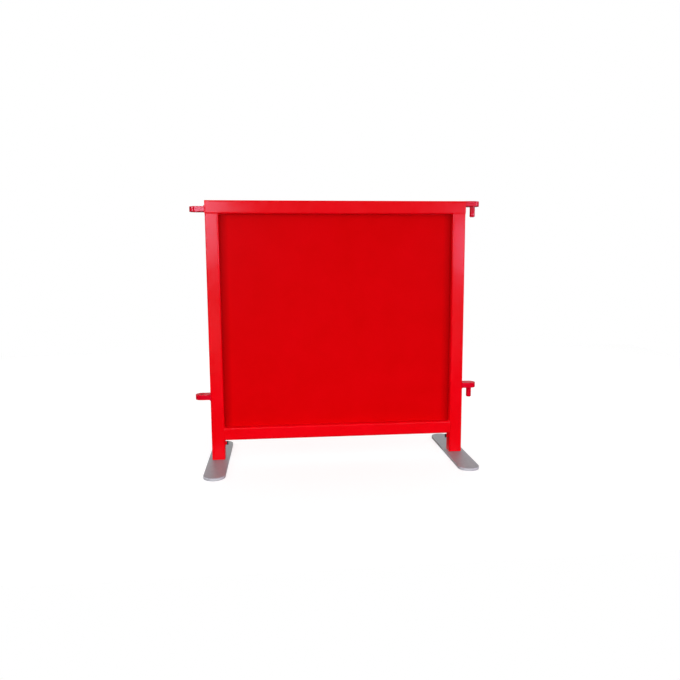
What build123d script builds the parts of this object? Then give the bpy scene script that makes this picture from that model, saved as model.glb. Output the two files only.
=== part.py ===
from build123d import *
import os
from math import asin, degrees, sqrt

# An interlocking steel barrier panel. A welded frame of square tube carries a recessed sheet.
# Its left side has two coupling eyes and its right side two lugs with pins, so that panels hook
# together in a row. Each post stands on a flat-bar foot, which swivels for flat stacking.
# Millimetres, +Z up. The origin is on the floor, under the middle of the frame and in the
# tubes' mid-plane. The front looks towards -Y, and the pins are on the +X side.

# Frame of square hollow section
FRAME_WIDTH = 1000.0  # outside, across both posts
FRAME_HEIGHT = 1000.0  # from the feet to the top of the top rail
TUBE = 50.0
TUBE_WALL = 3.0
TUBE_CORNER = 6.0  # outside radius
END_PLATE = 3.0  # closes each end of the top rail
RAIL_CLEARANCE = 77.0  # from the feet to the bottom rail
WELD_GAP = 0.4  # between post and foot

# Infill sheet, with a ring of angles behind it
SHEET = 2.0
SHEET_EDGE_GAP = 1.0
ANGLE_LEG = 20.0
ANGLE_WALL = 3.0
ANGLE_ROOT = 3.0

# Coupling lugs, eyes and pins
LUG_WIDTH = 50.0
LUG_THICK = 20.0
LUG_REACH = 33.0  # from the frame's side to the pin's axis
LUG_EDGE = 1.5  # edge radius
LOWER_LUG_TOP = 292.0  # above the floor
COUPLING_GAP = 2.0  # a lug hangs this far above the eye of the next panel
COUPLING_CLEARANCE = 3.0  # around a pin in its eye
PIN_DIAMETER = 20.0
PIN_LENGTH = 40.0  # below its lug
PIN_TIP = 2.5  # chamfer
PIN_SHOULDER = 2.0  # step down to the neck that is welded into the lug

# Feet
FOOT_LENGTH = 480.0
FOOT_WIDTH = 80.0
FOOT_THICK = 10.0
FOOT_EDGE = 0.8  # edge radius
SWIVEL = 90.0  # degrees

# Round bar that stands in the foot and turns in two guides inside the post
SPIGOT_DIAMETER = 30.0
SPIGOT_PROUD = 4.0  # above the upper guide
SPIGOT_TIP = 3.0  # chamfer
SPIGOT_RECESS = 2.0  # above the foot's underside, for the weld that holds it
GUIDE_THICK = 8.0
GUIDE_ABOVE_LOCK = 30.0
RUNNING = 0.08  # radial clearance of spigot in guide
THRUST_GAP = 0.1  # between lower guide and foot

# Lock bolt with a dog point, which runs in a groove in the spigot
LOCK_BELOW_RAIL = 17.0
BOLT_DIAMETER = 8.0
BOLT_HOLE = 8.5
HEX_FLATS = 13.0
HEAD_THICK = 5.3
NUT_THICK = 6.5
NUT_BORE_GAP = 0.05
HEX_CHAMFER = 0.7
DOG_DIAMETER = 6.0
GROOVE_DEPTH = 3.5
GROOVE_PLAY = 0.5  # dog to groove, at the sides and the floor of the groove
STOP_PLAY = 0.3  # dog to the ends of the groove

# Places that follow from the sizes
tube_inside = TUBE - 2 * TUBE_WALL
inside_corner = TUBE_CORNER - TUBE_WALL
frame_side = FRAME_WIDTH / 2
post_x = frame_side - TUBE / 2
frame_top = FOOT_THICK + FRAME_HEIGHT
post_bottom = FOOT_THICK + WELD_GAP
post_top = frame_top - TUBE
rail_bottom = FOOT_THICK + RAIL_CLEARANCE
opening_bottom = rail_bottom + TUBE
opening_width = FRAME_WIDTH - 2 * TUBE
opening_height = post_top - opening_bottom
lock_z = rail_bottom - LOCK_BELOW_RAIL
lower_guide_z = FOOT_THICK + THRUST_GAP
upper_guide_z = lock_z + GUIDE_ABOVE_LOCK
spigot_top = upper_guide_z + GUIDE_THICK + SPIGOT_PROUD
groove_floor = SPIGOT_DIAMETER / 2 - GROOVE_DEPTH
upper_lug_z = frame_top - LUG_THICK
lower_lug_z = LOWER_LUG_TOP - LUG_THICK
eye_drop = LUG_THICK + COUPLING_GAP


def tube_outline():
    return RectangleRounded(TUBE, TUBE, TUBE_CORNER)


def square_tube(length):
    """A tube along +Z, centred on the axis, starting at 0."""
    hollow = RectangleRounded(tube_inside, tube_inside, inside_corner)
    return extrude(tube_outline() - hollow, amount=length)


def rail(length, bottom):
    """A tube along X, centred on the panel, with its underside at the given height."""
    along_x = Pos(-length / 2, 0, bottom + TUBE / 2) * Rot(0, 90, 0)
    return along_x * square_tube(length)


def rail_end():
    """The plate that closes the left end of the top rail."""
    plate = extrude(tube_outline(), amount=END_PLATE)
    return Pos(-frame_side, 0, frame_top - TUBE / 2) * Rot(0, 90, 0) * plate


def post():
    """The left post, with the lock bolt's hole in the wall that faces the other post."""
    tube = Pos(-post_x, 0, post_bottom) * square_tube(post_top - post_bottom)
    wall_x = -post_x + (TUBE - TUBE_WALL) / 2
    hole = Pos(wall_x, 0, lock_z) * Rot(0, 90, 0) * Cylinder(BOLT_HOLE / 2, 2 * TUBE_WALL)
    return tube - hole


def infill_sheet():
    width = opening_width - 2 * SHEET_EDGE_GAP
    height = opening_height - 2 * SHEET_EDGE_GAP
    return Pos(0, 0, opening_bottom + opening_height / 2) * Box(width, SHEET, height)


def panel_angle(start, run, length):
    """An angle whose outer corner lies on the tube, against the back of the sheet."""
    corners = [
        (0, 0),
        (ANGLE_LEG, 0),
        (ANGLE_LEG, ANGLE_WALL),
        (ANGLE_WALL, ANGLE_WALL),
        (ANGLE_WALL, ANGLE_LEG),
        (0, ANGLE_LEG),
    ]
    section = make_face(Polyline(*corners, close=True))
    root = section.vertices().sort_by_distance((ANGLE_WALL, ANGLE_WALL))[0]
    section = fillet(root, ANGLE_ROOT)
    plane = Plane(origin=start, x_dir=(0, 1, 0), z_dir=run)
    return extrude(plane * section, amount=length)


def lug(hole_diameter):
    """A flat-bar lug that reaches along +X from 0, with a full-round end and one hole."""
    outline = Pos(LUG_REACH / 2, 0) * Rectangle(LUG_REACH, LUG_WIDTH)
    outline += Pos(LUG_REACH, 0) * Circle(LUG_WIDTH / 2)
    body = extrude(outline, amount=LUG_THICK)
    faces = body.faces().sort_by(Axis.Z)
    rims = faces[0].edges() + faces[-1].edges()
    free_edges = [edge for edge in rims if edge.center().X > LUG_EDGE]
    body = fillet(free_edges, LUG_EDGE)
    hole = Pos(LUG_REACH, 0, LUG_THICK / 2) * Cylinder(hole_diameter / 2, 2 * LUG_THICK)
    return body - hole


def coupling_eye(lug_z):
    """The eye that takes the pin of a lug whose underside is at the given height."""
    eye = lug(PIN_DIAMETER + 2 * COUPLING_CLEARANCE)
    return Pos(-frame_side, 0, lug_z - eye_drop) * Rot(0, 0, 180) * eye


def coupling_lug(lug_z):
    return Pos(frame_side, 0, lug_z) * lug(PIN_DIAMETER - 2 * PIN_SHOULDER)


def coupling_pin(lug_z):
    """A pin under its lug, with a neck that fills the lug's hole."""
    shank = Pos(0, 0, -PIN_LENGTH / 2) * Cylinder(PIN_DIAMETER / 2, PIN_LENGTH)
    tip = shank.edges().group_by(Axis.Z)[0]
    shank = chamfer(tip, PIN_TIP)
    neck = Pos(0, 0, LUG_THICK / 2) * Cylinder(PIN_DIAMETER / 2 - PIN_SHOULDER, LUG_THICK)
    return Pos(frame_side + LUG_REACH, 0, lug_z) * (shank + neck)


def foot_plate():
    """The left foot: a flat bar across the panel, with full-round ends."""
    plate = extrude(SlotOverall(FOOT_LENGTH, FOOT_WIDTH, rotation=90), amount=FOOT_THICK)
    faces = plate.faces().sort_by(Axis.Z)
    plate = fillet(faces[0].edges() + faces[-1].edges(), FOOT_EDGE)
    plate -= Cylinder(SPIGOT_DIAMETER / 2, 4 * FOOT_THICK)
    return Pos(-post_x, 0, 0) * plate


def foot_spigot():
    """The left foot's bar. The groove lets the foot turn a quarter turn about +Z from rest."""
    length = spigot_top - SPIGOT_RECESS
    bar = Pos(0, 0, spigot_top - length / 2) * Cylinder(SPIGOT_DIAMETER / 2, length)
    bar = chamfer(bar.edges().group_by(Axis.Z)[-1], SPIGOT_TIP)
    dog_angle = degrees(asin((DOG_DIAMETER / 2 + STOP_PLAY) / groove_floor))
    width = DOG_DIAMETER + 2 * GROOVE_PLAY
    on_axis = (Align.NONE, Align.NONE, Align.CENTER)
    sector = Cylinder(SPIGOT_DIAMETER, width, SWIVEL + 2 * dog_angle, align=on_axis)
    groove = Rot(0, 0, -SWIVEL - dog_angle) * (sector - Cylinder(groove_floor, 2 * width))
    return Pos(-post_x, 0, 0) * (bar - Pos(0, 0, lock_z) * groove)


def guide(bottom):
    """A plate that fills the left post and guides the spigot."""
    outline = RectangleRounded(tube_inside, tube_inside, inside_corner)
    plate = extrude(outline - Circle(SPIGOT_DIAMETER / 2 + RUNNING), amount=GUIDE_THICK)
    return Pos(-post_x, 0, bottom) * plate


def hexagon(thick):
    """A hexagon along +Z from 0, with its outer corners turned off."""
    prism = extrude(RegularPolygon(HEX_FLATS / 2, 6, major_radius=False), amount=thick)
    turned = Pos(0, 0, thick / 2) * Cylinder(HEX_FLATS / sqrt(3), thick)
    return prism & chamfer(turned.edges().group_by(Axis.Z)[-1], HEX_CHAMFER)


def lock_nut():
    """The nut welded to the left post's inner face."""
    bore = Cylinder(BOLT_DIAMETER / 2 + NUT_BORE_GAP, 4 * NUT_THICK)
    nut = hexagon(NUT_THICK) - bore
    return Pos(-post_x + TUBE / 2, 0, lock_z) * Rot(0, 90, 0) * nut


def lock_bolt():
    """The bolt drawn up on the left nut, with its dog in the spigot's groove."""
    head_x = -post_x + TUBE / 2 + NUT_THICK
    shank_end = -post_x + SPIGOT_DIAMETER / 2 + GROOVE_PLAY
    dog_end = -post_x + groove_floor + GROOVE_PLAY
    head = Pos(head_x, 0, lock_z) * Rot(0, 90, 0) * hexagon(HEAD_THICK)
    spans = [
        (shank_end, head_x, BOLT_DIAMETER),
        (dog_end, shank_end, DOG_DIAMETER),
    ]
    for low, high, diameter in spans:
        middle = Pos((low + high) / 2, 0, lock_z)
        head += middle * Rot(0, 90, 0) * Cylinder(diameter / 2, high - low)
    return head


parts = {
    "top_rail": rail(FRAME_WIDTH - 2 * END_PLATE, post_top),
    "bottom_rail": rail(opening_width, rail_bottom),
    "infill_panel": infill_sheet(),
}

edge_x = opening_width / 2
back_y = SHEET / 2
opening_top = opening_bottom + opening_height
side_length = opening_height - 2 * ANGLE_LEG
angles = {
    "bottom": ((-edge_x, back_y, opening_bottom), (1, 0, 0), opening_width),
    "top": ((edge_x, back_y, opening_top), (-1, 0, 0), opening_width),
    "left": ((-edge_x, back_y, opening_top - ANGLE_LEG), (0, 0, -1), side_length),
    "right": ((edge_x, back_y, opening_bottom + ANGLE_LEG), (0, 0, 1), side_length),
}
for side, (start, run, length) in angles.items():
    parts["panel_angle_" + side] = panel_angle(start, run, length)

for level, lug_z in {"upper": upper_lug_z, "lower": lower_lug_z}.items():
    parts[level + "_eye"] = coupling_eye(lug_z)
    parts[level + "_lug"] = coupling_lug(lug_z)
    parts[level + "_pin"] = coupling_pin(lug_z)

# Each of these is made for the left side and mirrored for the right.
paired = {
    "rail_end": rail_end(),
    "post": post(),
    "foot_plate": foot_plate(),
    "foot_spigot": foot_spigot(),
    "lower_guide": guide(lower_guide_z),
    "upper_guide": guide(upper_guide_z),
    "lock_nut": lock_nut(),
    "lock_bolt": lock_bolt(),
}
for name, piece in paired.items():
    parts["left_" + name] = piece
    parts["right_" + name] = mirror(piece, about=Plane.YZ)

os.makedirs("parts", exist_ok=True)
for name, piece in parts.items():
    piece.label = name
    export_step(piece, f"parts/{name}.step")
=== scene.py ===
from math import cos, pi, radians, sin, sqrt

import bmesh
import bpy
from mathutils import Matrix, Vector


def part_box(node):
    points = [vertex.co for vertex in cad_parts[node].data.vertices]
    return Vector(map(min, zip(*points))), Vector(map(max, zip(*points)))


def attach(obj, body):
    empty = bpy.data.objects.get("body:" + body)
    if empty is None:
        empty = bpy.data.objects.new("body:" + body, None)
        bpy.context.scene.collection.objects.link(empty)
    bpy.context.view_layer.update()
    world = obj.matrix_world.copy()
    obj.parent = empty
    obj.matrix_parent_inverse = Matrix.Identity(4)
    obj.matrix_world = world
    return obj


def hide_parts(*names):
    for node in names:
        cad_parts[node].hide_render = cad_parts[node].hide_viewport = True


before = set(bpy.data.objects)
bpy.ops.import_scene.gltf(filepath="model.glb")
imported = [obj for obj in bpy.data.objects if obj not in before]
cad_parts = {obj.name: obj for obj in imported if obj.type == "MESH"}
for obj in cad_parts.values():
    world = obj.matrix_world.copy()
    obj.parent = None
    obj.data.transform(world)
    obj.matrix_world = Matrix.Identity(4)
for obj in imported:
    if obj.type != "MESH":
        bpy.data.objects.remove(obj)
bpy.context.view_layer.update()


# Tube frame: the top rail lies over two posts, and the bottom rail stands between them, all of
# 50 mm square hollow section, with a plate in each end of the top rail. The frame is welded up
# first, then sprayed with gloss red enamel, which dries a little uneven and with a fine peel.
COAT_PATCH = 0.12
HAZE_PATCH = 0.03
HAZE_SWING = 0.04
WAVE_LENGTH = 0.35
PEEL_LENGTH = 0.003
PEEL_DEPTH = 0.00004
FRAME_RED_THIN = (0.80, 0.0, 0.003)
FRAME_RED_FULL = (0.86, 0.0, 0.006)
GLOSS = 0.19
FRAME_PARTS = ("top_rail", "bottom_rail", "left_post", "right_post", "left_rail_end", "right_rail_end")


def link(material, source, target):
    material.node_tree.links.new(source, target)


def add_node(material, kind, **settings):
    node = material.node_tree.nodes.new(kind)
    for name, value in settings.items():
        setattr(node, name, value)
    return node


def noise(material, size, detail=2.0, stretch=(1, 1, 1)):
    """A noise pattern whose lumps are about the given size, in metres, fixed to the object."""
    place = add_node(material, "ShaderNodeTexCoord")
    scaling = add_node(material, "ShaderNodeMapping")
    scaling.inputs["Scale"].default_value = [1 / (size * way) for way in stretch]
    link(material, place.outputs["Object"], scaling.inputs["Vector"])
    pattern = add_node(material, "ShaderNodeTexNoise")
    pattern.inputs["Scale"].default_value = 1
    pattern.inputs["Detail"].default_value = detail
    link(material, scaling.outputs["Vector"], pattern.inputs["Vector"])
    return pattern.outputs["Fac"]


def spread(material, value, low, high, start=0.3, end=0.7):
    """Maps the part of a value between start and end onto the range from low to high."""
    node = add_node(material, "ShaderNodeMapRange")
    node.inputs["From Min"].default_value = start
    node.inputs["From Max"].default_value = end
    node.inputs["To Min"].default_value = low
    node.inputs["To Max"].default_value = high
    link(material, value, node.inputs["Value"])
    return node.outputs["Result"]


def blend_colours(material, share, first, second):
    """Goes from the first colour to the second. Either may be three numbers or a socket."""
    node = add_node(material, "ShaderNodeMix", data_type="RGBA")
    for colour, socket in ((first, node.inputs[6]), (second, node.inputs[7])):
        if isinstance(colour, tuple):
            socket.default_value = (*colour, 1)
        else:
            link(material, colour, socket)
    link(material, share, node.inputs["Factor"])
    return node.outputs[2]


def dent(material, height, depth, underneath=None):
    """A bump of the given depth in metres, on top of another one if that is given."""
    node = add_node(material, "ShaderNodeBump")
    node.inputs["Distance"].default_value = depth
    link(material, height, node.inputs["Height"])
    if underneath:
        link(material, underneath, node.inputs["Normal"])
    return node.outputs["Normal"]


def new_finish(name):
    material = bpy.data.materials.new(name)
    material.use_nodes = True
    return material, material.node_tree.nodes["Principled BSDF"]


def sprayed_enamel(name, thin, full, dullness, shine, waviness):
    """Sprayed enamel: thin and full are the paint's colours where the coat is thin and thick."""
    material, shader = new_finish(name)
    coat = spread(material, noise(material, COAT_PATCH, 4), 0, 1)
    link(material, blend_colours(material, coat, thin, full), shader.inputs["Base Color"])
    patches = noise(material, HAZE_PATCH, 5)
    haze = spread(material, patches, dullness - HAZE_SWING, dullness + HAZE_SWING)
    link(material, haze, shader.inputs["Roughness"])
    wave = dent(material, noise(material, WAVE_LENGTH, 1), waviness)
    peel = dent(material, noise(material, PEEL_LENGTH, 1), PEEL_DEPTH, wave)
    link(material, peel, shader.inputs["Normal"])
    shader.inputs["Specular IOR Level"].default_value = shine
    return material


def paint(nodes, material):
    for node in nodes:
        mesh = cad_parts[node].data
        mesh.materials.clear()
        mesh.materials.append(material)


frame_enamel = sprayed_enamel(
    "frame_enamel",
    FRAME_RED_THIN,
    FRAME_RED_FULL,
    dullness=GLOSS,
    shine=0.075,
    waviness=0.0004,
)
paint(FRAME_PARTS, frame_enamel)


# Weld beads at the frame's corners: steel laid by hand in short ripples. Fillets fill the inner
# corners, and slim beads fill the grooves beside the tubes' rounded edges and stay below the
# faces. They are painted together with the frame.
RIPPLE = 0.0022
RIPPLE_HEIGHT = 0.00014
RIPPLE_CURVE = 0.0007
BEAD_STEP = 0.00055
BEAD_END = 0.0018
BEAD_END_SIZE = 0.35
BEAD_ROOT = 0.0004
HAND_SWAY = 0.03
HAND_SWAY_RATE = 410
HAND_SHAKE = 0.02
HAND_SHAKE_RATE = 950
SHARP_EDGE = radians(50)
ARC_POINTS = 7
TUBE = 0.05
TUBE_FLAT = 0.019
TUBE_ROUNDING = TUBE / 2 - TUBE_FLAT
GROOVE_DEPTH = 0.0016
GROOVE_RIPPLE = 0.4
GROOVE_INSET = 0.0008
GROOVE_RISE = 0.0014
GROOVE_FROM_WALL = 0.0013
GROOVE_FROM_MIDDLE = 0.0234
BEND_STEPS = 14
BEND_REACH = radians(80)


def fillet_bead(leg, half_angle=45, crown=0.14):
    """A fillet's outline as (sideways, outwards, share of the ripple), from the corner it fills."""
    sideways = leg * sin(radians(half_angle))
    outwards = leg * cos(radians(half_angle))
    outline = []
    for index in range(ARC_POINTS):
        across = 2 * index / (ARC_POINTS - 1) - 1
        rise = 1 - across * across
        outline.append((across * sideways, outwards + crown * leg * rise, rise))
    below = (BEAD_ROOT * cos(radians(half_angle)), BEAD_ROOT * sin(radians(half_angle)))
    outline.append((sideways + below[0], outwards - below[1], 0))
    outline.append((0, -BEAD_ROOT / sin(radians(half_angle)), 0))
    outline.append((-sideways - below[0], outwards - below[1], 0))
    return outline


def groove_bead(width, crown):
    """A groove bead's outline, from the middle of the groove's mouth. Its ripples are fainter."""
    outline = []
    for index in range(ARC_POINTS):
        across = 2 * index / (ARC_POINTS - 1) - 1
        rise = 1 - across * across
        outline.append((across * width / 2, crown * rise, rise * GROOVE_RIPPLE))
    outline.append((width / 2, -GROOVE_DEPTH, 0))
    outline.append((-width / 2, -GROOVE_DEPTH, 0))
    return outline


def lay_bead(beads, path, outward, outline, closed=False):
    """Adds one bead along a path. Outward is a direction, or a function of the point."""
    count = len(path)
    half_width = max(sideways for sideways, _, _ in outline)
    length = sum((path[i + 1] - path[i]).length for i in range(count - 1))
    done = 0.0
    rows = []
    for index, point in enumerate(path):
        before = path[index - 1] if index or closed else point
        after = path[(index + 1) % count] if index < count - 1 or closed else point
        along = (after - before).normalized()
        if index:
            done += (point - path[index - 1]).length
        out = outward(point) if callable(outward) else Vector(outward).normalized()
        side = along.cross(out)
        to_end = 1.0 if closed else min(1.0, min(done, length - done) / BEAD_END)
        size = BEAD_END_SIZE + (1 - BEAD_END_SIZE) * sqrt(1 - (1 - to_end) ** 2)
        sway = HAND_SWAY * sin(done * HAND_SWAY_RATE)
        size *= 1 + sway + HAND_SHAKE * sin(done * HAND_SHAKE_RATE + 1)
        wave = RIPPLE_HEIGHT * cos(2 * pi * done / RIPPLE)
        row = []
        for sideways, outwards, share in outline:
            lag = RIPPLE_CURVE * (sideways / half_width) ** 2
            height = outwards * size + wave * share * to_end
            place = point + side * sideways * size + out * height - along * lag * to_end
            row.append(beads.verts.new(place))
        rows.append(row)
    pairs = list(zip(rows, rows[1:]))
    if closed:
        pairs.append((rows[-1], rows[0]))
    for first, second in pairs:
        for i in range(len(outline)):
            j = (i + 1) % len(outline)
            beads.faces.new((first[i], first[j], second[j], second[i]))
    if not closed:
        beads.faces.new(rows[0])
        beads.faces.new(rows[-1])


def straight(start, end):
    start, end = Vector(start), Vector(end)
    count = max(4, round((end - start).length / BEAD_STEP))
    return [start.lerp(end, i / count) for i in range(count + 1)]


def add_piece(name, shape, material, body):
    """Makes a bmesh into a smooth closed object that rides on a body."""
    bmesh.ops.recalc_face_normals(shape, faces=shape.faces)
    mesh = bpy.data.meshes.new(name)
    shape.to_mesh(mesh)
    shape.free()
    mesh.polygons.foreach_set("use_smooth", [True] * len(mesh.polygons))
    mesh.set_sharp_from_angle(angle=SHARP_EDGE)
    mesh.materials.append(material)
    piece = bpy.data.objects.new(name, mesh)
    bpy.context.collection.objects.link(piece)
    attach(piece, body)
    return piece


TUBE_SEAM = groove_bead(0.0036, 0.0006)
FLUSH_SEAM = groove_bead(0.0026, 0.00035)
END_PLATE_SEAM = groove_bead(0.0022, 0.0003)


def tube_groove(beads, x, low, high):
    """Beads in the two upright grooves beside a tube's rounded edges, at the front and back."""
    for face in (-1, 1):
        y = face * GROOVE_FROM_MIDDLE
        lay_bead(beads, straight((x, y, low), (x, y, high)), (0, face, 0), TUBE_SEAM)


def post_top_groove(beads, post_x, joint):
    """Beads in the grooves between the rail's rounded lower edges and the top of a post."""
    inset = TUBE_ROUNDING - GROOVE_INSET
    for face in (-1, 1):
        path, facing = [], {}
        for corner in (-1, 1):
            bend = range(BEND_STEPS, 0, -1) if corner < 0 else range(1, BEND_STEPS + 1)
            middle = Vector((post_x + corner * TUBE_FLAT, face * TUBE_FLAT, joint))
            flat_end = middle + Vector((0, face * inset, GROOVE_RISE))
            arc = []
            for step in bend:
                angle = step / BEND_STEPS * BEND_REACH
                out = Vector((corner * sin(angle), face * cos(angle), 0))
                point = middle + out * inset + Vector((0, 0, GROOVE_RISE * cos(angle)))
                facing[tuple(point)] = out
                arc.append(point)
            if corner < 0:
                path += arc + [flat_end]
            else:
                path += straight(path[-1], flat_end)[1:] + arc
        level = Vector((0, face, 0))
        lay_bead(beads, path, lambda point: facing.get(tuple(point), level), TUBE_SEAM)


CORNER_LEG = 0.004
SHEET_CLEAR = 0.0026
END_BEND_STEPS = 17
for side, way in (("left", -1), ("right", 1)):
    post_low, post_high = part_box(side + "_post")
    outside = way * max(abs(post_low[0]), abs(post_high[0]))
    inside = outside - way * TUBE
    joint = post_high[2]
    beads = bmesh.new()
    post_top_groove(beads, (inside + outside) / 2, joint)
    seam = straight((outside, -TUBE_FLAT, joint), (outside, TUBE_FLAT, joint))
    lay_bead(beads, seam, (way, 0, 0), FLUSH_SEAM)
    corner = straight((inside, -TUBE_FLAT, joint), (inside, -SHEET_CLEAR, joint))
    lay_bead(beads, corner, (-way, 0, -1), fillet_bead(CORNER_LEG))
    add_piece(side + "_post_top_weld", beads, frame_enamel, "frame")

    rail_low, rail_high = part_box("bottom_rail")
    beads = bmesh.new()
    groove_x = inside + way * GROOVE_FROM_WALL
    tube_groove(beads, groove_x, rail_low[2] + TUBE_ROUNDING, rail_high[2] - TUBE_ROUNDING)
    above = straight((inside, -TUBE_FLAT, rail_high[2]), (inside, -SHEET_CLEAR, rail_high[2]))
    lay_bead(beads, above, (-way, 0, 1), fillet_bead(CORNER_LEG))
    below = straight((inside, -TUBE_FLAT, rail_low[2]), (inside, TUBE_FLAT, rail_low[2]))
    lay_bead(beads, below, (-way, 0, -1), fillet_bead(CORNER_LEG))
    add_piece(side + "_bottom_rail_weld", beads, frame_enamel, "frame")

    plate_low, plate_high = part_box(side + "_rail_end")
    seam_x = plate_high[0] if way < 0 else plate_low[0]
    middle = Vector((seam_x, 0, (plate_low[2] + plate_high[2]) / 2))
    ring = []
    for quarter in range(4):
        turn = Matrix.Rotation(quarter * pi / 2, 3, "X")
        flat = straight((0, TUBE / 2, -TUBE_FLAT), (0, TUBE / 2, TUBE_FLAT))
        for point in flat:
            ring.append((middle + turn @ point, turn @ Vector((0, 1, 0))))
        for step in range(1, END_BEND_STEPS):
            angle = step / END_BEND_STEPS * pi / 2
            bend = Vector((0, cos(angle), sin(angle)))
            centre = Vector((0, TUBE_FLAT, TUBE_FLAT))
            ring.append((middle + turn @ (centre + bend * TUBE_ROUNDING), turn @ bend))
    facing = {tuple(point): out for point, out in ring}
    beads = bmesh.new()
    lay_bead(
        beads,
        [point for point, _ in ring],
        lambda point: facing[tuple(point)],
        END_PLATE_SEAM,
        closed=True,
    )
    add_piece(side + "_rail_end_weld", beads, frame_enamel, "frame")


# Infill sheet: 2 mm steel, carried by four angles behind it. It is sprayed apart from the frame
# with a satin red that is a little deeper. Beside the posts it is painted darker, as painted shade,
# and a sheet of this size is never quite flat.
SHEET_RED_THIN = (0.66, 0.0, 0.001)
SHEET_RED_FULL = (0.70, 0.0, 0.002)
SHADED_SHEET_RED = (0.40, 0.0, 0.001)
SATIN = 0.42
PAINTED_SHADE_SHARE = 0.036  # of the sheet's width, on each side
sheet_enamel = sprayed_enamel(
    "sheet_enamel",
    SHEET_RED_THIN,
    SHEET_RED_FULL,
    dullness=SATIN,
    shine=0.006,
    waviness=0.0012,
)
sheet_colour = sheet_enamel.node_tree.nodes["Principled BSDF"].inputs["Base Color"]
unshaded_coat = sheet_colour.links[0].from_socket
across = add_node(sheet_enamel, "ShaderNodeSeparateXYZ")
sheet_place = add_node(sheet_enamel, "ShaderNodeTexCoord")
link(sheet_enamel, sheet_place.outputs["Generated"], across.inputs["Vector"])
from_middle = add_node(sheet_enamel, "ShaderNodeMath", operation="SUBTRACT")
from_middle.inputs[1].default_value = 0.5
link(sheet_enamel, across.outputs["X"], from_middle.inputs[0])
off_middle = add_node(sheet_enamel, "ShaderNodeMath", operation="ABSOLUTE")
link(sheet_enamel, from_middle.outputs["Value"], off_middle.inputs[0])
# Painted shade: the sheet's red darkens over a narrow band towards its left and right edges.
painted_shade_band = spread(sheet_enamel, off_middle.outputs["Value"], 0, 1, 0.5 - PAINTED_SHADE_SHARE, 0.5)
link(sheet_enamel, blend_colours(sheet_enamel, painted_shade_band, unshaded_coat, SHADED_SHEET_RED), sheet_colour)
paint(["infill_panel"], sheet_enamel)
paint(["panel_angle_" + side for side in ("top", "bottom", "left", "right")], frame_enamel)


# Stitch welds that hold the angles: short beads along each angle's toe on the tube, and between
# them short beads that join its other leg to the back of the sheet. Painted with the frame.
STITCH = 0.025
STITCH_PITCH = 0.14
ANGLE_LEG = 0.020
sheet_low, sheet_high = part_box("infill_panel")
opening_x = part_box("panel_angle_bottom")[1][0]
opening_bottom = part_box("panel_angle_bottom")[0][2]
opening_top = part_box("panel_angle_top")[1][2]
sheet_back = sheet_high[1]
toe_y = sheet_back + ANGLE_LEG
stitched = {
    "top": lambda run, y, h: Vector((run, y, opening_top - h)),
    "bottom": lambda run, y, h: Vector((run, y, opening_bottom + h)),
    "left": lambda run, y, h: Vector((h - opening_x, y, run)),
    "right": lambda run, y, h: Vector((opening_x - h, y, run)),
}
TOE_LEG = 0.0026
TOE_SINK = 0.0001
TOE_SLOPE = radians(29)
BACK_LEG = 0.0024
for side, place in stitched.items():
    level = side in ("top", "bottom")
    low, high = (-opening_x, opening_x) if level else (opening_bottom, opening_top)
    count = int((high - low - 2 * ANGLE_LEG) / STITCH_PITCH)
    first = (low + high) / 2 - (count - 1) * STITCH_PITCH / 2
    beads = bmesh.new()
    origin = place(0, 0, 0)
    toe_out = place(0, cos(TOE_SLOPE), sin(TOE_SLOPE)) - origin
    leg_out = place(0, sqrt(0.5), sqrt(0.5)) - origin
    for number in range(count):
        middle = first + number * STITCH_PITCH
        start, end = middle - STITCH / 2, middle + STITCH / 2
        toe = straight(place(start, toe_y, -TOE_SINK), place(end, toe_y, -TOE_SINK))
        lay_bead(beads, toe, toe_out, fillet_bead(TOE_LEG, half_angle=61))
        if number < count - 1:
            start, end = start + STITCH_PITCH / 2, end + STITCH_PITCH / 2
            leg = straight(place(start, sheet_back, ANGLE_LEG), place(end, sheet_back, ANGLE_LEG))
            lay_bead(beads, leg, leg_out, fillet_bead(BACK_LEG))
    add_piece("panel_angle_" + side + "_weld", beads, frame_enamel, "frame")


# Coupling eyes on the left and lugs with pins on the right: 50 x 20 mm flat bar with full-round
# ends. They are welded all round to the rail's end plates and the posts. Their enamel is a little
# darker and cooler red than the frame's.
LUG_RED_THIN = (0.66, 0.0, 0.012)
LUG_RED_FULL = (0.74, 0.0, 0.018)
LUG_LEG = 0.0045
LUG_EDGE = 0.0015
EYE_BEAD_INSET = 0.001
lug_enamel = sprayed_enamel(
    "lug_enamel",
    LUG_RED_THIN,
    LUG_RED_FULL,
    dullness=GLOSS,
    shine=0.1,
    waviness=0.0002,
)
paint(["upper_eye", "lower_eye", "upper_lug", "lower_lug", "upper_pin", "lower_pin"], lug_enamel)
for name, way in (("upper_eye", -1), ("lower_eye", -1), ("upper_lug", 1), ("lower_lug", 1)):
    low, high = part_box(name)
    wall = high[0] if way < 0 else low[0]
    on_plate = name.startswith("upper")
    reach = TUBE / 2 - EYE_BEAD_INSET if on_plate and way < 0 else TUBE_FLAT
    beads = bmesh.new()
    for level, up in ((low[2], -1), (high[2], 1)):
        if name == "upper_lug" and up > 0:
            seam = straight((wall, -TUBE_FLAT, level), (wall, TUBE_FLAT, level))
            lay_bead(beads, seam, (0, 0, 1), FLUSH_SEAM)
        else:
            root = straight((wall, -reach, level), (wall, reach, level))
            lay_bead(beads, root, (way, 0, up), fillet_bead(LUG_LEG))
    if on_plate:
        plate_top = high[2] - (TUBE_ROUNDING if way > 0 else LUG_EDGE)
        for face in (-1, 1):
            y = face * TUBE / 2
            seam = straight((wall, y, low[2] + LUG_EDGE), (wall, y, plate_top))
            lay_bead(beads, seam, (0, face, 0), FLUSH_SEAM)
    else:
        groove_x = wall - way * GROOVE_FROM_WALL
        tube_groove(beads, groove_x, low[2] + LUG_EDGE, high[2] - LUG_EDGE)
    add_piece(name + "_weld", beads, lug_enamel, "frame")


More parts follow.
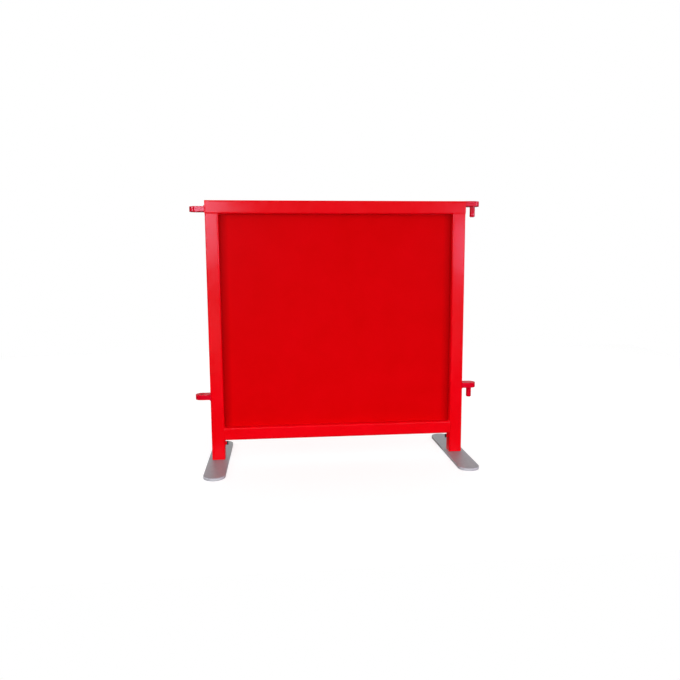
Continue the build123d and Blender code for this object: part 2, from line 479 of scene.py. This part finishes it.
# Plug welds: each pin's neck comes up through its lug and is welded over on top, in one turn of
# the torch that leaves a low dome with rings.
PLUG_RADIUS = 0.0092
PLUG_HEIGHT = 0.0007
PLUG_RINGS = 24
PLUG_SIDES = 64
PLUG_LOBES = 0.02
PLUG_WOBBLE = 0.012
for level in ("upper", "lower"):
    pin_low, pin_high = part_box(level + "_pin")
    centre = Vector(((pin_low[0] + pin_high[0]) / 2, 0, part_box(level + "_lug")[1][2]))
    dome = bmesh.new()
    top = dome.verts.new(centre + Vector((0, 0, PLUG_HEIGHT)))
    rows = []
    for ring_number in range(1, PLUG_RINGS + 2):
        share = min(1.0, ring_number / PLUG_RINGS)
        row = []
        for step in range(PLUG_SIDES):
            angle = 2 * pi * step / PLUG_SIDES
            uneven = 1 + PLUG_LOBES * sin(3 * angle) + PLUG_WOBBLE * sin(7 * angle)
            radius = share * PLUG_RADIUS * uneven
            ripple = RIPPLE_HEIGHT * cos(2 * pi * radius / RIPPLE + angle)
            height = PLUG_HEIGHT * (1 - share ** 3) + ripple * share * (1 - share ** 4)
            if ring_number > PLUG_RINGS:
                height = -BEAD_ROOT
            spot = Vector((radius * cos(angle), radius * sin(angle), height))
            row.append(dome.verts.new(centre + spot))
        rows.append(row)
    for step in range(PLUG_SIDES):
        after = (step + 1) % PLUG_SIDES
        dome.faces.new((top, rows[0][step], rows[0][after]))
        for inner, outer in zip(rows, rows[1:]):
            dome.faces.new((inner[step], outer[step], outer[after], inner[after]))
    dome.faces.new(rows[-1])
    add_piece(level + "_pin_plug_weld", dome, lug_enamel, "frame")


# Feet: 80 x 10 mm flat bar with full-round ends, hot-dip galvanised. The zinc has dulled to a
# grey with faint crystals on the wide faces; painted light makes the narrow edge faces lighter.
ZINC_DARK = (0.295, 0.312, 0.318)
ZINC_LIGHT = (0.331, 0.348, 0.354)
ZINC_WEATHERED = (0.311, 0.328, 0.334)
PAINTED_LIGHT_EDGE_GREY = (0.64, 0.64, 0.635)
CRYSTALS_PER_METRE = 110
WEATHER_PATCH = 0.045
ZINC_GRAIN = 0.0012
ZINC_GRAIN_DEPTH = 0.00003
foot_steel, foot_shader = new_finish("foot_steel")
foot_shader.inputs["Metallic"].default_value = 0.6
foot_place = add_node(foot_steel, "ShaderNodeTexCoord")
crystals = add_node(foot_steel, "ShaderNodeTexVoronoi")
crystals.inputs["Scale"].default_value = CRYSTALS_PER_METRE
link(foot_steel, foot_place.outputs["Object"], crystals.inputs["Vector"])
shade = add_node(foot_steel, "ShaderNodeSeparateColor")
link(foot_steel, crystals.outputs["Color"], shade.inputs["Color"])
zinc = blend_colours(foot_steel, shade.outputs["Red"], ZINC_DARK, ZINC_LIGHT)
weather = spread(foot_steel, noise(foot_steel, WEATHER_PATCH, 4), 0, 1)
zinc = blend_colours(foot_steel, weather, zinc, ZINC_WEATHERED)
facing_up = add_node(foot_steel, "ShaderNodeSeparateXYZ")
link(foot_steel, foot_place.outputs["Normal"], facing_up.inputs["Vector"])
flatness = add_node(foot_steel, "ShaderNodeMath", operation="ABSOLUTE")
link(foot_steel, facing_up.outputs["Z"], flatness.inputs[0])
wide_face = spread(foot_steel, flatness.outputs["Value"], 0, 1, start=0.5, end=0.95)
# Painted light: faces that point neither up nor down are given a lighter grey.
zinc = blend_colours(foot_steel, wide_face, PAINTED_LIGHT_EDGE_GREY, zinc)
link(foot_steel, zinc, foot_shader.inputs["Base Color"])
dullness = spread(foot_steel, shade.outputs["Green"], 0.47, 0.55, start=0, end=1)
link(foot_steel, dullness, foot_shader.inputs["Roughness"])
grain = dent(foot_steel, noise(foot_steel, ZINC_GRAIN, 3), ZINC_GRAIN_DEPTH)
link(foot_steel, grain, foot_shader.inputs["Normal"])
paint(["left_foot_plate", "right_foot_plate"], foot_steel)


# Spigots and guides: a turned bar stands in each foot and turns in two plates inside the post.
# They are bare steel with fine tool marks and a film of grease. A ring of weld in a recess under
# the foot holds the spigot.
BARE_STEEL = (0.40, 0.40, 0.40)
GREASED_STEEL = (0.33, 0.32, 0.30)
GREASE_PATCH = 0.006
FILM_PATCH = 0.004
TOOL_MARK = 0.0004
TOOL_MARK_DEPTH = 0.00001
SPIGOT_LEG = 0.0016
turned_steel, turned_shader = new_finish("turned_steel")
turned_shader.inputs["Metallic"].default_value = 1.0
grease = spread(turned_steel, noise(turned_steel, GREASE_PATCH, 3), 0, 1)
bare = blend_colours(turned_steel, grease, BARE_STEEL, GREASED_STEEL)
link(turned_steel, bare, turned_shader.inputs["Base Color"])
film = spread(turned_steel, noise(turned_steel, FILM_PATCH, 3), 0.24, 0.4)
link(turned_steel, film, turned_shader.inputs["Roughness"])
tool_marks = noise(turned_steel, TOOL_MARK, 1, stretch=(60, 60, 1))
tooled = dent(turned_steel, tool_marks, TOOL_MARK_DEPTH)
link(turned_steel, tooled, turned_shader.inputs["Normal"])
bearing_pieces = ("foot_spigot", "lower_guide", "upper_guide")
paint([side + piece for side in ("left_", "right_") for piece in bearing_pieces], turned_steel)

for side in ("left", "right"):
    low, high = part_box(side + "_foot_spigot")
    centre = Vector(((low[0] + high[0]) / 2, 0, low[2]))
    radius = (high[0] - low[0]) / 2
    count = round(2 * pi * radius / BEAD_STEP)
    ring = []
    for step in range(count):
        angle = 2 * pi * step / count
        ring.append(centre + Vector((radius * cos(angle), radius * sin(angle), 0)))
    beads = bmesh.new()
    lay_bead(
        beads,
        ring,
        lambda point, c=centre: ((c - point).normalized() + Vector((0, 0, -1))).normalized(),
        fillet_bead(SPIGOT_LEG),
        closed=True,
    )
    add_piece(side + "_spigot_weld", beads, turned_steel, side + "_foot")


# Lock bolts and their nuts: a black M8 hexagon bolt runs through a nut welded to the inner face
# of each post, and its dog point sits in the spigot's groove. The nuts are sprayed with the frame.
OXIDE_DARK = (0.045, 0.045, 0.05)
OXIDE_LIGHT = (0.07, 0.068, 0.07)
OXIDE_PATCH = 0.003
black_steel, black_shader = new_finish("black_steel")
black_shader.inputs["Metallic"].default_value = 1.0
oxide = spread(black_steel, noise(black_steel, OXIDE_PATCH, 3), 0, 1)
black = blend_colours(black_steel, oxide, OXIDE_DARK, OXIDE_LIGHT)
link(black_steel, black, black_shader.inputs["Base Color"])
oil = spread(black_steel, noise(black_steel, FILM_PATCH, 3), 0.35, 0.5)
link(black_steel, oil, black_shader.inputs["Roughness"])
FLATS = 0.013
HEX_SIDES = 96
FULL_CORNERS = 1.0
TURNED_RADIUS = FLATS / 2 * 0.95
CHAMFER_SLOPE = 1.8
CHAMFER_ROWS = (0, 0.0002, 0.0004, 0.0007)
WASHER_RADIUS = FLATS / 2 * 0.92
WASHER_FACE = 0.0003
THREAD_PITCH = 0.00125
THREAD_RADIUS = 0.00395
THREAD_DEPTH = 0.0006
THREAD_START = 0.0002
THREAD_STEPS = 8
THREAD_ROOT = 1.15
DOG_RADIUS = 0.003
DOG_LENGTH = 0.0035
DOG_TIP = 0.0004
BORE_RADIUS = 0.00405
COUNTERSINK = 0.0006
NUT_BEAD_RADIUS = 0.0071
NUT_LEG = 0.0023


def hexagon_radius(angle):
    return FLATS / 2 / cos((angle + pi / 6) % (pi / 3) - pi / 6)


def hexagon_row(depth, turned_radius):
    """One row of a hexagon's side, cut back to the circle that the chamfer leaves there."""
    angles = [2 * pi * step / HEX_SIDES for step in range(HEX_SIDES)]
    return [(depth, min(hexagon_radius(angle), turned_radius)) for angle in angles]


def round_row(depth, radius):
    return [(depth, radius)] * HEX_SIDES


def chamfered(face, inward):
    """Rows of a hexagon's end, from its turned face down to the full corners."""
    return [
        hexagon_row(face + inward * deep, TURNED_RADIUS + deep * CHAMFER_SLOPE)
        for deep in CHAMFER_ROWS
    ]


def turned_piece(rows, place, closed=False):
    shape = bmesh.new()
    rings = []
    for row in rows:
        ring = []
        for step, (depth, radius) in enumerate(row):
            ring.append(shape.verts.new(place(depth, radius, 2 * pi * step / HEX_SIDES)))
        rings.append(ring)
    pairs = list(zip(rings, rings[1:]))
    if closed:
        pairs.append((rings[-1], rings[0]))
    for first, second in pairs:
        for i in range(HEX_SIDES):
            j = (i + 1) % HEX_SIDES
            shape.faces.new((first[i], first[j], second[j], second[i]))
    if not closed:
        shape.faces.new(rings[0])
        shape.faces.new(rings[-1])
    return shape


for side, way in (("left", 1), ("right", -1)):
    nut_low, nut_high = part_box(side + "_lock_nut")
    bolt_low, bolt_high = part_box(side + "_lock_bolt")
    wall = nut_low[0] if way > 0 else nut_high[0]
    nut_thick = nut_high[0] - nut_low[0]
    head_end = (bolt_high[0] - wall) if way > 0 else (wall - bolt_low[0])
    dog_end = (bolt_low[0] - wall) if way > 0 else (wall - bolt_high[0])
    axis_z = (nut_low[2] + nut_high[2]) / 2

    def on_axis(depth, radius, angle, wall=wall, way=way, axis_z=axis_z):
        return Vector((wall + way * depth, way * radius * cos(angle), axis_z + radius * sin(angle)))

    rows = chamfered(head_end, -1)
    rows.append(hexagon_row(nut_thick + WASHER_FACE, FULL_CORNERS))
    rows.append(round_row(nut_thick + WASHER_FACE, WASHER_RADIUS))
    rows.append(round_row(nut_thick, WASHER_RADIUS))
    rows.append(round_row(nut_thick, THREAD_RADIUS))
    thread_end = dog_end + DOG_LENGTH
    depth = nut_thick - THREAD_START
    while depth > thread_end:
        row = []
        for step in range(HEX_SIDES):
            turn = depth / THREAD_PITCH + step / HEX_SIDES
            crest = abs((turn % 1) * 2 - 1)
            row.append((depth, THREAD_RADIUS - THREAD_DEPTH * min(1, crest * THREAD_ROOT)))
        rows.append(row)
        depth -= THREAD_PITCH / THREAD_STEPS
    rows.append(round_row(thread_end, DOG_RADIUS))
    rows.append(round_row(dog_end + DOG_TIP, DOG_RADIUS))
    rows.append(round_row(dog_end, DOG_RADIUS - DOG_TIP))
    bolt = add_piece(
        side + "_lock_bolt_threaded",
        turned_piece(rows, on_axis),
        black_steel,
        "frame",
    )
    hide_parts(side + "_lock_bolt")

    rows = [round_row(0, BORE_RADIUS), hexagon_row(0, FULL_CORNERS)]
    rows += reversed(chamfered(nut_thick, -1))
    rows.append(round_row(nut_thick, BORE_RADIUS + COUNTERSINK))
    rows.append(round_row(nut_thick - COUNTERSINK, BORE_RADIUS))
    nut = add_piece(
        side + "_lock_nut_chamfered",
        turned_piece(rows, on_axis, closed=True),
        frame_enamel,
        "frame",
    )
    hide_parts(side + "_lock_nut")

    count = round(2 * pi * FLATS / 2 / BEAD_STEP)
    ring = []
    for step in range(count):
        angle = 2 * pi * step / count
        ring.append(on_axis(0, min(hexagon_radius(angle), NUT_BEAD_RADIUS), angle))
    centre = on_axis(0, 0, 0)
    beads = bmesh.new()
    lay_bead(
        beads,
        ring,
        lambda point, c=centre, w=way: ((point - c).normalized() + Vector((w, 0, 0))).normalized(),
        fillet_bead(NUT_LEG),
        closed=True,
    )
    add_piece(side + "_lock_nut_weld", beads, frame_enamel, "frame")


# Studio: the panel stands on a sheet of plain white paper, in soft light that comes mostly from
# the front. Four smaller windows, which light nothing and are only reflected, give the frame's
# upper corners and the rounded ends of the eyes and lugs their glint.
PAPER_FRONT = -0.92
PAPER_BACK = 3.0
PAPER_SIDE = 3.0
PAPER_TOOTH = 0.02
PAPER_GREY_LOW = (0.34, 0.34, 0.34)
PAPER_GREY_HIGH = (0.36, 0.36, 0.36)
PAPER_GLOW = (0.74, 0.74, 0.74)
paper_white, paper_shader = new_finish("paper_white")
paper_shader.inputs["Roughness"].default_value = 0.9
paper_shader.inputs["Specular IOR Level"].default_value = 0.0
tooth = spread(paper_white, noise(paper_white, PAPER_TOOTH, 2), 0, 1)
white = blend_colours(paper_white, tooth, PAPER_GREY_LOW, PAPER_GREY_HIGH)
link(paper_white, white, paper_shader.inputs["Base Color"])
seen_directly = add_node(paper_white, "ShaderNodeLightPath")
link(paper_white, seen_directly.outputs["Is Camera Ray"], paper_shader.inputs["Emission Strength"])
paper_shader.inputs["Emission Color"].default_value = (*PAPER_GLOW, 1)
paper_mesh = bpy.data.meshes.new("floor")
corners = [
    (-PAPER_SIDE, PAPER_FRONT, 0),
    (PAPER_SIDE, PAPER_FRONT, 0),
    (PAPER_SIDE, PAPER_BACK, 0),
    (-PAPER_SIDE, PAPER_BACK, 0),
]
paper_mesh.from_pydata(corners, [], [(0, 1, 2, 3)])
paper_mesh.materials.append(paper_white)
floor = bpy.data.objects.new("floor", paper_mesh)
bpy.context.collection.objects.link(floor)
floor.visible_glossy = False

ROOM_STRENGTH = 1.49
ROOM_GREYS = ((0.18, 0.04), (0.33, 1.0), (0.5, 0.9), (0.8, 0.2))
world = bpy.data.worlds.new("studio")
bpy.context.scene.world = world
world.use_nodes = True
world.node_tree.nodes.clear()
direction = add_node(world, "ShaderNodeTexCoord")
axes = add_node(world, "ShaderNodeSeparateXYZ")
link(world, direction.outputs["Generated"], axes.inputs["Vector"])
ramp = add_node(world, "ShaderNodeValToRGB")
heights = ramp.color_ramp.elements
while len(heights) < len(ROOM_GREYS):
    heights.new(1.0)
for height, (level, grey) in zip(heights, ROOM_GREYS):
    height.position = level
    height.color = (grey, grey, grey, 1)
link(world, axes.outputs["Z"], ramp.inputs["Fac"])
room = add_node(world, "ShaderNodeBackground")
room.inputs["Strength"].default_value = ROOM_STRENGTH
link(world, ramp.outputs["Color"], room.inputs["Color"])
backdrop = add_node(world, "ShaderNodeBackground")
backdrop.inputs["Color"].default_value = (1, 1, 1, 1)
ray = add_node(world, "ShaderNodeLightPath")
surroundings = add_node(world, "ShaderNodeMixShader")
link(world, ray.outputs["Is Camera Ray"], surroundings.inputs["Fac"])
link(world, room.outputs["Background"], surroundings.inputs[1])
link(world, backdrop.outputs["Background"], surroundings.inputs[2])
output = add_node(world, "ShaderNodeOutputWorld")
link(world, surroundings.outputs["Shader"], output.inputs["Surface"])


def softbox(name, place, aim, width, height, power, tint=(1, 1, 1)):
    """A rectangular light that faces the point aim. Sizes are in metres and power in watts."""
    light = bpy.data.lights.new(name, "AREA")
    light.shape = "RECTANGLE"
    light.size = width
    light.size_y = height
    light.energy = power
    light.color = tint
    lamp = bpy.data.objects.new(name, light)
    lamp.location = place
    lamp.rotation_euler = (Vector(aim) - Vector(place)).to_track_quat("-Z", "Y").to_euler()
    bpy.context.collection.objects.link(lamp)
    return lamp


softbox("top_softbox", (0, -1.2, 2.6), (0, 0, 0.3), 2.6, 1.4, 3)
for wash in (
    softbox("front_softbox", (0, -3.2, 0.9), (0, 0, 0.5), 3.0, 1.8, 30),
    softbox("low_softbox", (0, -2.2, 0.25), (0, 0, 0.2), 2.4, 0.4, 17),
    softbox("back_softbox", (0, 3.0, 1.3), (0, 0, 0.5), 3.0, 1.8, 20),
    softbox("left_softbox", (-3.0, 0, 1.2), (0, 0, 0.5), 1.8, 1.8, 8),
    softbox("right_softbox", (3.0, 0, 1.2), (0, 0, 0.5), 1.8, 1.8, 8),
):
    wash.visible_glossy = False
LEFT_GLINT = (0.95, 0.88, 1.2)
RIGHT_GLINT = (1.0, 0.8, 1.25)
for window in (
    softbox("left_window", (-1.14, -2.45, 1.24), (-1.14, 0, 1.24), 0.96, 0.84, 70, LEFT_GLINT),
    softbox("right_window", (1.61, -2.45, 0.9), (1.61, 0, 0.9), 0.88, 0.42, 32, RIGHT_GLINT),
    softbox("left_edge_window", (-2.6, -0.9, 1.1), (-0.53, 0, 0.97), 1.0, 0.6, 45, LEFT_GLINT),
    softbox("right_edge_window", (2.6, -0.9, 1.0), (0.53, 0, 0.97), 1.0, 0.6, 45, RIGHT_GLINT),
):
    window.visible_diffuse = False

CAMERA_PLACE = (-0.2346, -2.4328, 0.7844)
CAMERA_YAW = -0.0995
CAMERA_PITCH = -0.1269
CAMERA_ROLL = -0.0054
CAMERA_LENS = 33.05
CAMERA_SENSOR = 36
camera_data = bpy.data.cameras.new("camera")
camera_data.lens = CAMERA_LENS
camera_data.sensor_width = CAMERA_SENSOR
camera = bpy.data.objects.new("camera", camera_data)
aim = Matrix.Rotation(CAMERA_YAW, 4, "Z") @ Matrix.Rotation(pi / 2 + CAMERA_PITCH, 4, "X")
aim = aim @ Matrix.Rotation(CAMERA_ROLL, 4, "Z")
camera.matrix_world = Matrix.Translation(CAMERA_PLACE) @ aim
bpy.context.collection.objects.link(camera)
bpy.context.scene.camera = camera
bpy.context.scene.view_settings.view_transform = "Standard"
